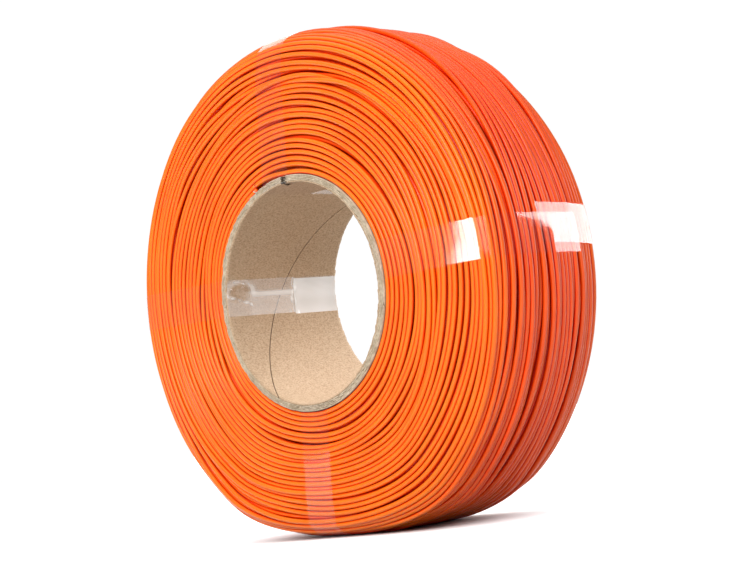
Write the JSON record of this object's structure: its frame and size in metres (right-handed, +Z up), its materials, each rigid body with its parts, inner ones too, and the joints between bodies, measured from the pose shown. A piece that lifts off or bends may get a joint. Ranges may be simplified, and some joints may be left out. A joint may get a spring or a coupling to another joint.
{
  "type": "filament refill roll",
  "caption": "Bare refill roll of 3D-printer filament, wound on a spiral paper core and tied by clear tape straps, standing on its rim.",
  "frame": {"origin": "on the floor, under the middle of the roll", "axes": "+Z up, Y along the core's axis, and the front face, with the notch in the core's rim, towards -Y"},
  "size_m": [0.1828, 0.0555, 0.1751],
  "materials": {
    "kraft_liner": "plain kraft paper",
    "core_board": "grey chipboard, cut edge",
    "filament": "satin extruded plastic",
    "clear_tape": "clear glossy film"
  },
  "bodies": {
    "root": {"core_liner_ply": "kraft_liner", "core_second_ply": "core_board", "core_middle_ply": "core_board", "core_fourth_ply": "core_board", "core_outer_ply": "core_board", "filament_winding": "filament", "filament_first_turn": "filament", "tape_strap_top": "clear_tape", "tape_strap_right": "clear_tape", "tape_strap_bottom": "clear_tape", "tape_strap_left": "clear_tape"}
  },
  "joints": []
}
